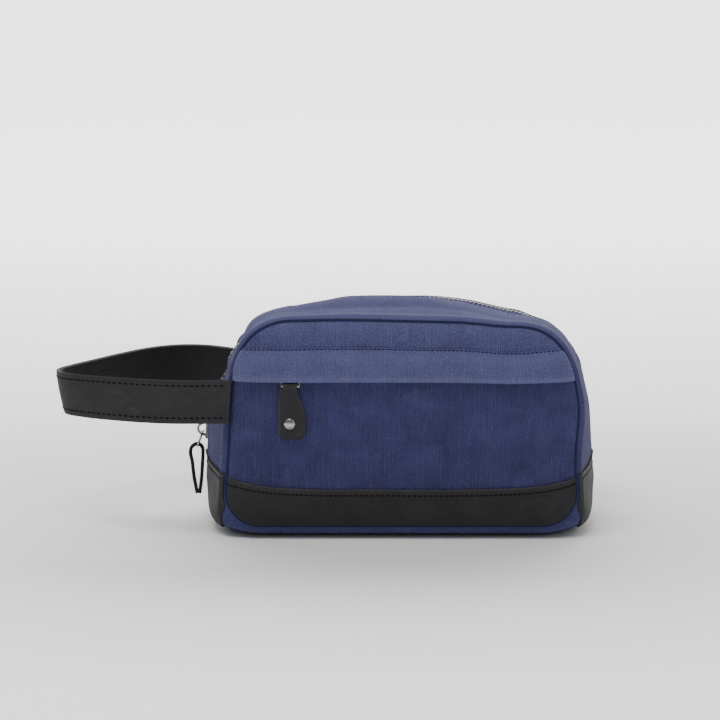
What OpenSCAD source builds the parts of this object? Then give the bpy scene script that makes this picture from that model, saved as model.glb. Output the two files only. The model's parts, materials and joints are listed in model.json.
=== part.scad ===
// Shaving kit bag: a zipped canvas bag with leather trim, a front pocket and a wrist strap.
// Origin: middle of the base, on the floor. +X right along the width, +Y back, +Z up.

/* [Bag] */
// Width of the front and back panels at their widest, seam to seam
panel_w = 240; // [200:1:290]
// Height of the top seam of the panels above the floor
panel_top = 151; // [130:1:182]
// Depth between the front and back seams
depth = 116; // [96:1:140]
// Height of the bottom seam of the panels above the floor
seam_lift = 8; // [6:0.5:9]
// Radius of the panels' top corners
top_r = 40; // [30:1:48]
// Radius of the panels' bottom corners
bottom_r = 24; // [18:1:28]
// How much narrower each side is at the top than at the base
lean = 5; // [2:0.5:8]
// How far the panels puff out in the middle
bulge = 4; // [2:0.5:6]

/* [Gusset] */
// How far the side gusset stands out of the seams at mid-depth
side_crown = 15.5; // [12:0.5:18]
// How much lower the side gusset is at the end caps
cap_sink = 2; // [1:0.1:3]
// How far the top gusset stands out of the seams at mid-depth, in the middle of the bag
top_crown = 7; // [5:0.5:12]
// How far it stands out there at the ends of the top
top_end_crown = 1.5; // [1:0.1:4]
// How far the base sags below the bottom seams
base_crown = 9.5; // [9:0.1:11]

/* [Cloth and leather] */
// Thickness of the canvas
canvas_t = 1.5; // [1:0.1:1.8]
// Thickness of the lining
lining_t = 0.6; // [0.4:0.1:0.8]
// Thickness of the leather trim
leather_t = 1.4; // [1:0.1:1.8]
// Thickness of the stiffening board in the base
board_t = 2; // [1:0.1:2.2]

/* [Leather trim] */
// Height of the top edge of the leather bands at the middle of the bag
band_top = 36; // [30:1:42]
// How much the bands' top edge rises towards the side seams
band_rise = 8.5; // [5:0.5:10]
// Height of the top edge of the end caps at the side seams
cap_top = 44; // [42:1:50]
// Width of the leather tabs over the zip's ends
end_tab_w = 17; // [15:1:24]

/* [Front pocket] */
// Height of the pocket zip's centre line
zip_z = 118; // [112:1:120]
// Opening between the two canvas edges at the pocket zip
zip_gap = 11; // [10:0.5:12]
// Length of the pocket zip
pocket_zip_l = 176; // [150:1:186]
// Height of the placket's sewn edge
placket_top = 133; // [130:1:135]
// Height of the placket's free edge
placket_low = 110; // [109.8:0.1:111]
// How far the placket's free edge stands off the panel
placket_lift = 4.6; // [4.4:0.1:5.5]
// Width of the pocket pouch
pouch_w = 200; // [160:1:206]
// Depth of the pocket pouch behind the front panel
pouch_d = 6.3; // [5.5:0.1:8]
// Height of the pouch's bottom edge
pouch_low = 20; // [18:1:40]

/* [Pocket pull] */
// Where the pocket slider stands, left of the middle
pull_x = 75; // [70:1:78]
// Width of the tab at its top
tab_top_w = 11.4; // [10:0.1:12]
// Width of the tab at its bottom
tab_low_w = 17; // [14:0.5:20]
// Height of the tab's bottom edge
tab_low = 71; // [66:0.5:74]
// Height of the rivet
rivet_z = 82; // [80:0.5:84]
// Diameter of the rivet's cap
rivet_d = 8; // [6:0.1:9]
// Diameter of the wire of the pull loop and the pull link
wire_d = 1.5; // [1.2:0.1:1.6]

/* [Main zip] */
// Width of the closed teeth of the main zip
chain_w = 7.2; // [6:0.1:8]
// Thickness of the teeth of the main zip
chain_t = 3.8; // [3.4:0.1:4]
// Distance from the zip's middle to each tape's outer edge
tape_reach = 16; // [14:0.5:18]
// Distance from the zip's middle to the canvas edge beside it
canvas_reach = 7.5; // [7:0.1:9]
// Height of the main slider's middle
slider_z = 64; // [60:1:80]
// Length of the main slider
slider_l = 12; // [10:0.5:13]
// Length of the pull link between its two ends
link_l = 11.5; // [10:0.5:14]
// Length of the leather lace loop
lace_l = 38; // [30:1:38]
// Width of the leather lace
lace_w = 2.7; // [2:0.1:3.2]

/* [Wrist strap] */
// Width of the strap
strap_w = 30; // [25:1:36]
// Height of the strap's top edge at the bag
strap_top = 111; // [100:1:114]
// Thickness of the strap's leather
strap_leather_t = 1.8; // [1.4:0.1:2.2]
// Thickness of the strap's webbing
strap_webbing_t = 1.4; // [1:0.1:2]

/* [Hidden] */

$fn = 32;

// Gap between layers that lie on each other
skin_gap = 0.1;
// Clearance between pieces that move past each other
run_gap = 0.3;

half_d = depth / 2;
half_w = panel_w / 2;

// Centres of the corner arcs on the right-hand side
bottom_cx = half_w - bottom_r;
bottom_cz = seam_lift + bottom_r;
top_cx = half_w - lean - top_r;
top_cz = panel_top - top_r;
corner_dx = bottom_cx - top_cx;
corner_dz = top_cz - bottom_cz;
// Angle by which the straight side leans in
lean_a = atan2(corner_dx, corner_dz) - asin((top_r - bottom_r) / norm([corner_dx, corner_dz]));
// Ends of the straight side
side_low = [bottom_cx + bottom_r * cos(lean_a), bottom_cz + bottom_r * sin(lean_a)];
side_high = [top_cx + top_r * cos(lean_a), top_cz + top_r * sin(lean_a)];

// Half the width of the panel at height z
function half_width(z) =
    z > side_high[1] ? top_cx + sqrt(max(0, top_r * top_r - pow(z - top_cz, 2)))
    : z < side_low[1] ? bottom_cx + sqrt(max(0, bottom_r * bottom_r - pow(z - bottom_cz, 2)))
    : side_low[0] + (side_high[0] - side_low[0]) * (z - side_low[1]) / (side_high[1] - side_low[1]);

// Height of the panel's lower edge at distance x from the middle
function low_edge(x) =
    abs(x) < bottom_cx ? seam_lift
    : bottom_cz - sqrt(max(0, bottom_r * bottom_r - pow(abs(x) - bottom_cx, 2)));

// How far a panel puffs out of its seam plane
panel_mid = (panel_top + seam_lift) / 2;
panel_half = (panel_top - seam_lift) / 2;
function puff(x, z) =
    bulge * (1 - pow(min(1, abs(x) / half_width(z)), 8)) * (1 - pow(abs(z - panel_mid) / panel_half, 4));

// A point on the front, out millimetres in front of the panel's outer face
function front_point(x, z, out) = [x, -half_d - puff(x, z) - out, z];

// Evenly spaced numbers from a to b
function steps(a, b, n) = [for (i = [0:n]) a + (b - a) * i / n];

// A closed sheet between an outer and an inner grid of points
module sheet(outer, inner) {
    n = len(outer);
    m = len(outer[0]);
    span_i = outer[1][0] - outer[0][0];
    span_j = outer[0][1] - outer[0][0];
    outward = outer[0][0] - inner[0][0];
    flip = cross(span_i, span_j) * outward < 0;
    points = concat([for (row = outer) each row], [for (row = inner) each row]);
    function id(k, i, j) = k * n * m + i * m + j;
    function quad(a, b, c, d) = flip ? [[a, b, c], [a, c, d]] : [[a, c, b], [a, d, c]];
    faces = concat(
        [for (i = [0:n - 2], j = [0:m - 2])
            each quad(id(0, i, j), id(0, i + 1, j), id(0, i + 1, j + 1), id(0, i, j + 1))],
        [for (i = [0:n - 2], j = [0:m - 2])
            each quad(id(1, i, j), id(1, i, j + 1), id(1, i + 1, j + 1), id(1, i + 1, j))],
        [for (i = [0:n - 2]) each quad(id(0, i, 0), id(1, i, 0), id(1, i + 1, 0), id(0, i + 1, 0))],
        [for (i = [0:n - 2])
            each quad(id(0, i, m - 1), id(0, i + 1, m - 1), id(1, i + 1, m - 1), id(1, i, m - 1))],
        [for (j = [0:m - 2]) each quad(id(0, 0, j), id(0, 0, j + 1), id(1, 0, j + 1), id(1, 0, j))],
        [for (j = [0:m - 2])
            each quad(id(0, n - 1, j), id(1, n - 1, j), id(1, n - 1, j + 1), id(0, n - 1, j + 1))]);
    polyhedron(points = points, faces = faces);
}

// Rows of heights that follow the rounded corners
low_rows = [for (a = steps(0, 90 - 15, 4)) bottom_cz - bottom_r * cos(a)];
top_rows = [for (a = steps(15, 90, 5)) top_cz + top_r * sin(a)];
panel_cols = [-1, -0.97, -0.9, -0.8, -0.6, -0.3, 0, 0.3, 0.6, 0.8, 0.9, 0.97, 1];

// A strip of the front between rows of heights, out to a share of its half width
module front_strip(rows, out, t, share = 1, inset = 0) {
    function at(z, u, o) = front_point(u * share * (half_width(z) - inset), z, o);
    sheet([for (z = rows) [for (u = panel_cols) at(z, u, out)]],
        [for (z = rows) [for (u = panel_cols) at(z, u, out - t)]]);
}

module back_side() mirror([0, 1, 0]) children();

/* Panels and bands */
zip_low = zip_z - zip_gap / 2;
zip_high = zip_z + zip_gap / 2;
mid_rows = steps(bottom_cz, zip_low, 5);

module front_panel() color("#3f4674") front_strip(concat(low_rows, mid_rows), 0, canvas_t);

module front_yoke() color("#545c8f")
    front_strip(concat([zip_high], [for (z = top_rows) if (z > zip_high + 1) z]), 0, canvas_t);

// The placket is sewn along its top and stands off at its free lower edge
function placket_out(x, z) =
    skin_gap + placket_lift * (placket_top - z) / (placket_top - placket_low)
    * (1 - pow(abs(x) / half_width(z), 8));
module pocket_placket() {
    rows = steps(placket_low, placket_top, 4);
    function at(z, u, o) =
        let (x = u * (half_width(z) - 1)) front_point(x, z, placket_out(x, z) + o);
    color("#4a5285") sheet([for (z = rows) [for (u = panel_cols) at(z, u, canvas_t)]],
        [for (z = rows) [for (u = panel_cols) at(z, u, 0)]]);
}

// Top edge of the leather band
function band_edge(x) = band_top + band_rise * pow(abs(x) / half_w, 5);
module band() {
    ends = half_w - 0.6;
    cols = concat([for (a = steps(-90, 0, 5)) -bottom_cx + (ends - bottom_cx) * sin(a)],
        steps(-bottom_cx * 0.75, bottom_cx * 0.75, 6),
        [for (a = steps(0, 90, 5)) bottom_cx + (ends - bottom_cx) * sin(a)]);
    function at(x, v, o) = let (z = low_edge(x) + (band_edge(x) - low_edge(x)) * v)
        front_point(x, z, skin_gap + o);
    sheet([for (x = cols) [for (v = steps(0, 1, 4)) at(x, v, leather_t)]],
        [for (x = cols) [for (v = steps(0, 1, 4)) at(x, v, 0)]]);
}
module front_band() color("#303032") band();
module back_band() color("#303032") back_side() band();

module back_panel() color("#3f4674") back_side()
    front_strip(concat(low_rows, steps(bottom_cz, top_cz, 5), top_rows), 0, canvas_t);

// Top of the main zip's teeth above the gusset's crown
chain_top = 0.2;

/* Paths round the bag: each point is [x, z, outward x, outward z] */
function arc_path(cx, cz, r, a0, a1, n) =
    [for (a = steps(a0, a1, n)) [cx + r * cos(a), cz + r * sin(a), cos(a), sin(a)]];
function side_point(z, sign) =
    [sign * half_width(z), z, sign * cos(lean_a), sin(lean_a)];

// Height over which the side gusset rises from the end caps to its full crown
cap_slope = 6;
// From the left end cap over the top to the right end cap
upper_path = concat(
    [side_point(cap_top, -1)],
    [for (z = steps(cap_top + cap_slope, side_high[1] - 8, 3)) side_point(z, -1)],
    arc_path(-top_cx, top_cz, top_r, 180 - lean_a, 90, 8),
    [for (x = steps(-top_cx * 0.75, top_cx * 0.75, 6)) [x, panel_top, 0, 1]],
    arc_path(top_cx, top_cz, top_r, 90, lean_a, 8),
    [for (z = steps(side_high[1] - 8, cap_top + cap_slope, 3)) side_point(z, 1)],
    [side_point(cap_top, 1)]);
// From the left end cap under the base to the right end cap
base_edge = cap_top - skin_gap;
lower_path = concat(
    [side_point(base_edge, -1), side_point((base_edge + side_low[1]) / 2, -1)],
    arc_path(-bottom_cx, bottom_cz, bottom_r, 180 - lean_a, 270, 8),
    [for (x = steps(-bottom_cx * 0.75, bottom_cx * 0.75, 6)) [x, seam_lift, 0, -1]],
    arc_path(bottom_cx, bottom_cz, bottom_r, -90, lean_a, 8),
    [side_point((base_edge + side_low[1]) / 2, 1), side_point(base_edge, 1)]);

// Height of the gusset above the seams at depth y, for a path point
function crown_at(p, y) =
    let (v = abs(y) / half_d, down = max(0, -p[3]),
        up = max(0, (p[3] - sin(lean_a)) / (1 - sin(lean_a))),
        top = top_end_crown + (top_crown - top_end_crown) * max(0, 1 - pow(p[0] / top_cx, 2)),
        sink = cap_sink * min(1, max(0, (cap_top + cap_slope - p[1]) / cap_slope)),
        side = (side_crown - sink) * pow(1 - up, 1.3) + top * up * up)
    (1 - down) * side * (1 - pow(v, 1.6)) + down * base_crown * (1 - pow(v, 4));
function path_point(p, y, out) = [p[0] + p[2] * out, y, p[1] + p[3] * out];

// A strip along a path: rows of depths, with outer and inner distances from the crown
module path_strip(path, rows, out, t, squeeze = undef) {
    function width(i) = squeeze == undef ? 1 : squeeze[i];
    function at(i, y, o) = path_point(path[i], y * width(i), crown_at(path[i], y * width(i)) + o);
    sheet([for (i = [0:len(path) - 1]) [for (y = rows) at(i, y, out)]],
        [for (i = [0:len(path) - 1]) [for (y = rows) at(i, y, out - t)]]);
}

// Behind the panel's edge
gusset_edge = half_d - canvas_t - skin_gap;
gusset_rows = steps(-gusset_edge, -canvas_reach, 6);
module gusset_front() color("#434a7c") path_strip(upper_path, gusset_rows, 0, canvas_t);
module gusset_back() color("#434a7c") back_side()
    path_strip(upper_path, gusset_rows, 0, canvas_t);

// The base strip is cut flat where it stands
base_inner_max = seam_lift - canvas_t;
module base_gusset() {
    rows = steps(-gusset_edge, gusset_edge, 12);
    function low(p, y) = min(crown_at(p, y) - canvas_t,
        p[3] < -0.5 ? (base_inner_max + p[1] - seam_lift) / -p[3] : 99);
    color("#2d325a") difference() {
        sheet([for (p = lower_path) [for (y = rows) path_point(p, y, crown_at(p, y))]],
            [for (p = lower_path) [for (y = rows) path_point(p, y, low(p, y))]]);
        translate([-panel_w, -depth, -20]) cube([2 * panel_w, 2 * depth, 20]);
    }
}

// Leather end caps, narrowing to a rounded lower end
cap_end_a = 222;
cap_path = concat(
    [for (z = steps(base_edge, side_low[1] + 3, 2)) side_point(z, -1)],
    arc_path(-bottom_cx, bottom_cz, bottom_r, 180 - lean_a, cap_end_a, 8));
cap_n = len(cap_path) - 1;
cap_squeeze = [for (i = [0:cap_n]) i < 4 ? 1 : sqrt(1 - 0.9 * pow((i - 3) / (cap_n - 3), 2.2))];
module end_cap() path_strip(cap_path, steps(-gusset_edge, gusset_edge, 12),
    skin_gap + leather_t, leather_t, cap_squeeze);
module end_cap_left() color("#2e2e30") end_cap();
module end_cap_right() color("#2e2e30") mirror([1, 0, 0]) end_cap();

// Leather tabs that close the zip's ends, just above the caps
end_tab_out = run_gap + leather_t + chain_top;
module zip_end_tab() {
    path = [for (z = steps(cap_top + 0.4, cap_top + cap_slope * 0.6, 2)) side_point(z, -1)];
    path_strip(path, steps(-end_tab_w / 2, end_tab_w / 2, 4), end_tab_out, leather_t);
}
module zip_end_tab_left() color("#262628") zip_end_tab();
module zip_end_tab_right() color("#262628") mirror([1, 0, 0]) zip_end_tab();

/* Main zip */
// Height of the tape's outer face relative to the crown
function tape_out(p, y) = crown_at(p, max(abs(y), canvas_reach)) - canvas_t - skin_gap;
tape_t = 0.8;
// Half the slit that the slider's post runs in
slit = 0.7;

module main_tape() {
    rows = [-tape_reach, -(tape_reach + canvas_reach) / 2, -canvas_reach, -chain_w / 2 - skin_gap];
    sheet([for (p = upper_path) [for (y = rows) path_point(p, y, tape_out(p, y))]],
        [for (p = upper_path) [for (y = rows) path_point(p, y, tape_out(p, y) - tape_t)]]);
}
module main_tape_front() color("#17171a") main_tape();
module main_tape_back() color("#17171a") back_side() main_tape();

module main_teeth() {
    rows = [-chain_w / 2, -slit];
    sheet([for (p = upper_path) [for (y = rows) path_point(p, y, crown_at(p, 0) + chain_top)]],
        [for (p = upper_path) [for (y = rows) path_point(p, y, crown_at(p, 0) + chain_top - chain_t)]]);
}
module main_teeth_front() color("#8d8a85") main_teeth();
module main_teeth_back() color("#8d8a85") back_side() main_teeth();

// The slider's own frame: x outwards from the teeth's outer face, z up along the zip
slider_side = half_width(slider_z) + (side_crown + chain_top) * cos(lean_a);
slider_up = slider_z + (side_crown + chain_top) * sin(lean_a);
module on_slider() translate([-slider_side, 0, slider_up]) rotate([0, lean_a, 0])
    mirror([1, 0, 0]) children();

plate_t = 1.2;
plate_w = chain_w + 3.2;
inner_w = chain_w + 1.2;
// The outer plate's side lips
lip_t = 1.1;
lip_drop = 1.6;
post_t = 0.7;
// Overlap that joins the shapes of one solid
weld = 0.1;
// The crown is the arch that holds the link
crown_l = 10.2;
crown_h = 6.3;
crown_w = 2.2;
function half_oval(a, b) = [for (t = steps(-90, 90, 16)) [b * cos(t), a * sin(t)]];

module main_slider() color("#a9a6a0") on_slider() {
    difference() {
        translate([run_gap - lip_drop, -plate_w / 2, -slider_l / 2])
            cube([lip_drop + plate_t, plate_w, slider_l]);
        translate([-lip_drop, -plate_w / 2 + lip_t, -slider_l])
            cube([lip_drop + run_gap, plate_w - 2 * lip_t, 2 * slider_l]);
    }
    // Inner plate, and the post through the slit that joins the plates
    translate([-chain_t - run_gap - plate_t, -inner_w / 2, -slider_l / 2]) cube([plate_t, inner_w, slider_l]);
    translate([-chain_t - run_gap - weld, -post_t / 2, -slider_l / 4])
        cube([chain_t + 2 * (run_gap + weld), post_t, slider_l / 2]);
    translate([run_gap + plate_t - weld, crown_w / 2, 0]) rotate([90, 0, 0])
        linear_extrude(crown_w) difference() {
            polygon(half_oval(crown_l / 2, crown_h));
            polygon(half_oval(crown_l / 2 - wire_d, crown_h - wire_d));
        }
}

// The link's upper end hangs in the crown; the lace hangs from its lower end
link_out = run_gap + plate_t + 1.95;
link_drop = -1.65;
link_x = -(slider_side + link_out * cos(lean_a) - link_drop * sin(lean_a));
link_z = slider_up + link_out * sin(lean_a) + link_drop * cos(lean_a);
link_tilt = 20;
link_in = 6.2;
lace_x = link_x - link_l * sin(link_tilt);
lace_z = link_z - link_l * cos(link_tilt);

// A closed wire loop with round ends, in the YZ plane, hanging from the origin
module wire_loop(length, width, d) {
    r = width / 2;
    for (end = [0, 1]) translate([0, 0, end == 0 ? -r : -length + r])
        rotate([0, 90, 0]) rotate([0, 0, end == 0 ? 90 : -90])
            rotate_extrude(angle = 180) translate([r, 0]) circle(d = d, $fn = 16);
    for (s = [-1, 1]) translate([0, s * r, -length + r]) cylinder(d = d, h = length - 2 * r, $fn = 16);
}
module pull_link() color("#b5b2ac") translate([link_x, 0, link_z]) rotate([0, link_tilt, 0])
    wire_loop(link_l, link_in, wire_d);

// Leather lace: a teardrop loop, seen from the front
lace_t = 1.8;
lace_hang = lace_t + wire_d / 2 + run_gap + 0.8;
lace_lean = 3;
lace_r = 5.2;
// Teardrop outline with its round end up and its point at the foot
function teardrop(r, l) =
    let (a = asin(r / (l - r)))
    concat([for (t = steps(-a, 180 + a, 18)) [r * cos(t), r * sin(t)]], [[0, -(l - r)]]);
module pull_lace() color("#1f1f21") translate([lace_x, 0, lace_z])
    rotate([0, -lace_lean, 0]) translate([0, lace_w / 2, lace_hang - lace_r])
        rotate([90, 0, 0]) linear_extrude(lace_w) difference() {
            polygon(teardrop(lace_r, lace_l));
            polygon(teardrop(lace_r - lace_t, lace_l - 3.6 * lace_t));
        }

/* Linings and base */
lining_gap = 0.8;
lining_edge = half_d - canvas_t - pouch_d - 1.2;
lining_inset = canvas_t + lining_gap;
lining_rows = [for (z = concat(low_rows, steps(bottom_cz, top_cz, 3), top_rows))
    max(seam_lift + lining_inset, min(panel_top - lining_inset, z))];
lining_levels = [for (i = [0:len(lining_rows) - 1])
    if (i == 0 || lining_rows[i] - lining_rows[max(0, i - 1)] > 0.5) lining_rows[i]];
module lining_panel() {
    function at(z, u, o) = [u * (half_width(z) - lining_inset), -lining_edge + o, z];
    sheet([for (z = lining_levels) [for (u = steps(-1, 1, 6)) at(z, u, 0)]],
        [for (z = lining_levels) [for (u = steps(-1, 1, 6)) at(z, u, lining_t)]]);
}
module lining_front() color("#7d7460") lining_panel();
module lining_back() color("#7d7460") back_side() lining_panel();

lining_side_rows = steps(-lining_edge + lining_t + skin_gap, -tape_reach - 1, 3);
module lining_gusset() path_strip(upper_path, lining_side_rows, -canvas_t - lining_gap, lining_t);
module lining_gusset_front() color("#756c59") lining_gusset();
module lining_gusset_back() color("#756c59") back_side() lining_gusset();

// Rectangle with round corners, for the board and the base lining
module round_rect(w, h, r) union() {
    square([w - 2 * r, h], center = true);
    square([w, h - 2 * r], center = true);
    for (sx = [-1, 1], sy = [-1, 1]) translate([sx * (w / 2 - r), sy * (h / 2 - r)]) circle(r);
}
board_r = 12;
board_z = canvas_t + 0.5;
board_w = 2 * bottom_cx + 2;
// Share of half the depth where the base's inner face reaches the board's underside
board_share = pow(1 - (seam_lift + canvas_t - board_z + 0.1) / base_crown, 0.25);
board_d = 2 * (half_d * board_share - 1.8);
module base_board() color("#8a7a5c") translate([0, 0, board_z])
    linear_extrude(board_t) round_rect(board_w, board_d, board_r);
module lining_base() color("#7d7460") translate([0, 0, board_z + board_t + 0.3])
    linear_extrude(lining_t) round_rect(board_w + 4, board_d + 4, board_r);

/* Front pocket */
pouch_t = 0.8;
pouch_r = 10;
pouch_top = zip_high + 4;
pouch_front = -half_d + canvas_t + skin_gap;
module pocket_pouch() color("#6f6753") {
    h = pouch_top - pouch_low;
    translate([0, pouch_front + pouch_d, pouch_low + h / 2]) rotate([90, 0, 0]) difference() {
        linear_extrude(pouch_d) round_rect(pouch_w, h, pouch_r);
        translate([0, 0, pouch_t]) linear_extrude(pouch_d)
            round_rect(pouch_w - 2 * pouch_t, h - 2 * pouch_t, pouch_r - pouch_t);
    }
}

// The zip lies in one plane, a little behind the puffed panel's canvas
zip_y = -half_d - bulge * 0.525 + canvas_t;
ptape_t = 0.7;
pteeth_w = 5;
pteeth_t = 2;
ptape_reach = 9;
module pocket_tape() translate([-pocket_zip_l / 2 - 5, zip_y - ptape_t / 2, zip_z + pteeth_w / 2 + skin_gap])
    cube([pocket_zip_l + 10, ptape_t, ptape_reach - pteeth_w / 2]);
module below_zip() translate([0, 0, zip_z]) mirror([0, 0, 1]) translate([0, 0, -zip_z]) children();
module pocket_tape_upper() color("#17171a") pocket_tape();
module pocket_tape_lower() color("#17171a") below_zip() pocket_tape();

// A rail with one tooth for every pitch, cut as one comb
tooth_pitch = 2.2;
pocket_slit = 0.6;
module pocket_teeth() {
    count = floor(pocket_zip_l / tooth_pitch);
    rail = 1.1;
    translate([-count * tooth_pitch / 2, zip_y + pteeth_t / 2, zip_z]) rotate([90, 0, 0])
        linear_extrude(pteeth_t) union() {
            translate([0, pteeth_w / 2 - rail]) square([count * tooth_pitch, rail]);
            for (i = [0:count - 1]) translate([i * tooth_pitch, pocket_slit])
                square([tooth_pitch * 0.55, pteeth_w / 2 - rail - pocket_slit + 0.1]);
        }
}
module pocket_teeth_upper() color("#8d8a85") pocket_teeth();
module pocket_teeth_lower() color("#8d8a85") below_zip() pocket_teeth();

module pocket_zip_stops() color("#8d8a85") for (s = [-1, 1])
    translate([s * (pocket_zip_l / 2 + 2.4), zip_y, zip_z])
        cube([2.4, pteeth_t, pteeth_w - 0.6], center = true);

// Pocket slider: two plates joined by a post in the slit, with a bail for the loop
pslider_l = 9;
pslider_w = 7.6;
pplate_t = 0.8;
ppost_t = 0.5;
// Middle of the pull loop's upper and lower bars: [y, z]
loop_top = [-half_d - bulge + 0.1, zip_z + 0.5];
loop_low = [-half_d - bulge - 2.9, zip_z - 10.8];
bail_t = 0.7;
bail_w = 2.8;
module pocket_slider() color("#a9a6a0") translate([-pull_x, 0, zip_z]) {
    front = zip_y - pteeth_t / 2 - run_gap;
    rear = zip_y + pteeth_t / 2 + run_gap;
    translate([-pslider_l / 2, front - pplate_t, -pslider_w / 2]) cube([pslider_l, pplate_t, pslider_w]);
    translate([-pslider_l / 2, rear, -pslider_w / 2]) cube([pslider_l, pplate_t, pslider_w]);
    translate([-pslider_l / 4, front - weld, -ppost_t / 2])
        cube([pslider_l / 2, rear - front + 2 * weld, ppost_t]);
    bail_r = wire_d / 2 + 0.3;
    translate([-bail_w / 2, loop_top[0], loop_top[1] - zip_z]) rotate([0, 90, 0]) linear_extrude(bail_w)
        difference() {
            union() {
                circle(bail_r + bail_t);
                translate([-bail_r - bail_t, 0]) square([2 * (bail_r + bail_t), front - loop_top[0]]);
            }
            circle(bail_r);
        }
}

// Wire loop under the placket; its lower bar carries the tab
loop_left = -pull_x - 5.4;
loop_right = -pull_x + 6.4;
loop_len = norm([loop_top[0] - loop_low[0], loop_top[1] - loop_low[1]]);
loop_tilt = atan2(loop_top[0] - loop_low[0], loop_top[1] - loop_low[1]);
module pocket_pull_loop() color("#c4c2bd") translate([0, loop_low[0], loop_low[1]])
    rotate([-loop_tilt, 0, 0]) {
        for (x = [loop_left, loop_right]) translate([x, 0, 0]) cylinder(d = wire_d, h = loop_len);
        for (z = [0, loop_len]) translate([loop_left, 0, z]) rotate([0, 90, 0])
            cylinder(d = wire_d, h = loop_right - loop_left);
        for (x = [loop_left, loop_right], z = [0, loop_len]) translate([x, 0, z]) sphere(d = wire_d);
    }

// Leather tab folded over the loop's lower bar
fold_in = wire_d / 2 + run_gap;
tab_layer = 1.3;
fold_out = fold_in + tab_layer;
// Half the tab's thickness where its two layers are sewn together
tab_grip = 1.4;
tab_taper = 10;
tab_r = 5;
// How much wider the tab is at its lower left, and where its right edge slopes
tab_flare = 1.2;
tab_left = -pull_x - tab_top_w / 2 - 0.8;
tab_slope = [[1.6, -8], [tab_low_w - tab_top_w, -22]];
module tab_outline() {
    low = tab_low - loop_low[1] + tab_r;
    top_right = tab_left + tab_top_w;
    corners = [tab_left + tab_low_w - 0.8 - tab_r, tab_left - tab_flare + tab_r];
    polygon(concat(
        [[tab_left, fold_out], [top_right, fold_out]],
        [for (p = tab_slope) [top_right + p[0], p[1]]],
        [for (a = steps(0, -90, 6)) [corners[0] + tab_r * cos(a), low + tab_r * sin(a)]],
        [for (a = steps(-90, -180, 6)) [corners[1] + tab_r * cos(a), low + tab_r * sin(a)]]));
}
// The folded strip from the side: y forward, z up, round the bar at the origin
function half_ring(r) = [for (a = steps(0, 180, 12)) [r * cos(a), r * sin(a)]];
module tab_side() {
    low = tab_low - loop_low[1] - 1;
    difference() {
        polygon(concat(half_ring(fold_out),
            [[-tab_grip, -tab_taper], [-tab_grip, low], [tab_grip, low], [tab_grip, -tab_taper]]));
        polygon(concat(half_ring(fold_in), [[0, -tab_taper + 1]]));
    }
}
module pocket_tab() color("#2b2b2d") translate([0, loop_low[0], loop_low[1]]) difference() {
    intersection() {
        translate([0, 10, 0]) rotate([90, 0, 0]) linear_extrude(20) tab_outline();
        translate([-pull_x - 20, 0, 0]) rotate([90, 0, 90]) linear_extrude(40) tab_side();
    }
    // Room for the loop's side bars on both sides of the fold
    for (s = [-1, 1]) translate([s < 0 ? loop_left + fold_in - 20 : loop_right - fold_in, -10, -wire_d])
        cube([20, 20, 20]);
    translate([rivet_x, 0, rivet_z - loop_low[1]]) rotate([90, 0, 0])
        cylinder(r = rivet_shank_r + 0.05, h = 20, center = true);
}

rivet_x = -pull_x;
rivet_shank_r = 1.5;
module tab_rivet() color("#cfcfcf") translate([rivet_x, loop_low[0], rivet_z]) rotate([90, 0, 0])
    rotate_extrude() polygon(concat(
        [[0, -tab_grip - 0.7], [rivet_d / 2 - 0.8, -tab_grip - 0.7], [rivet_d / 2 - 0.8, -tab_grip - 0.02],
            [rivet_shank_r, -tab_grip - 0.02], [rivet_shank_r, tab_grip + 0.02]],
        [for (a = steps(0, 80, 6)) [rivet_d / 2 * cos(a), tab_grip + 0.02 + 1.7 * sin(a)]],
        [[0, tab_grip + 1.72]]));

/* Wrist strap */
strap_end = [-half_width(strap_top - strap_w) - 1.6, half_d + 0.3];
// The strap's middle line, front seam to back seam: distance out from its ends, and share of half the depth
strap_shape = [[15.4, -1.017], [36.4, -1], [57.4, -0.931], [78.4, -0.81], [96.4, -0.672],
    [108.4, -0.534], [113.4, -0.362], [111.4, -0.155], [102.4, 0.103], [88.4, 0.414],
    [73.4, 0.707], [58.4, 0.966], [42.4, 1.155], [25.4, 1.224], [10.4, 1.155]];
strap_line = concat([[strap_end[0], -strap_end[1]]],
    [for (p = strap_shape) [strap_end[0] - p[0], p[1] * half_d]], [strap_end]);
strap_n = len(strap_line) - 1;
function spline(a, b, c, d, t) =
    0.5 * (2 * b + (c - a) * t + (2 * a - 5 * b + 4 * c - d) * t * t
        + (3 * b - a - 3 * c + d) * t * t * t);
function strap_at(i) = strap_line[max(0, min(strap_n, i))];
strap_curve = concat(
    [for (i = [0:strap_n - 1], t = [0, 0.5])
        spline(strap_at(i - 1), strap_at(i), strap_at(i + 1), strap_at(i + 2), t)],
    [strap_line[strap_n]]);
strap_m = len(strap_curve) - 1;
function strap_normal(i) =
    let (d = strap_curve[min(strap_m, i + 1)] - strap_curve[max(0, i - 1)])
    [d[1], -d[0]] / norm([d[0], d[1]]);
module strap_layer(out, t) {
    function at(i, z, o) = let (p = strap_curve[i], n = strap_normal(i))
        [p[0] - n[0] * o, p[1] - n[1] * o, z];
    zs = [strap_top - strap_w, strap_top - strap_w / 2, strap_top];
    sheet([for (i = [0:strap_m]) [for (z = zs) at(i, z, out)]],
        [for (i = [0:strap_m]) [for (z = zs) at(i, z, out - t)]]);
}
module strap_leather() color("#2a2a2c") strap_layer(strap_leather_t, strap_leather_t);
module strap_webbing() color("#141416") strap_layer(-skin_gap, strap_webbing_t);

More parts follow.
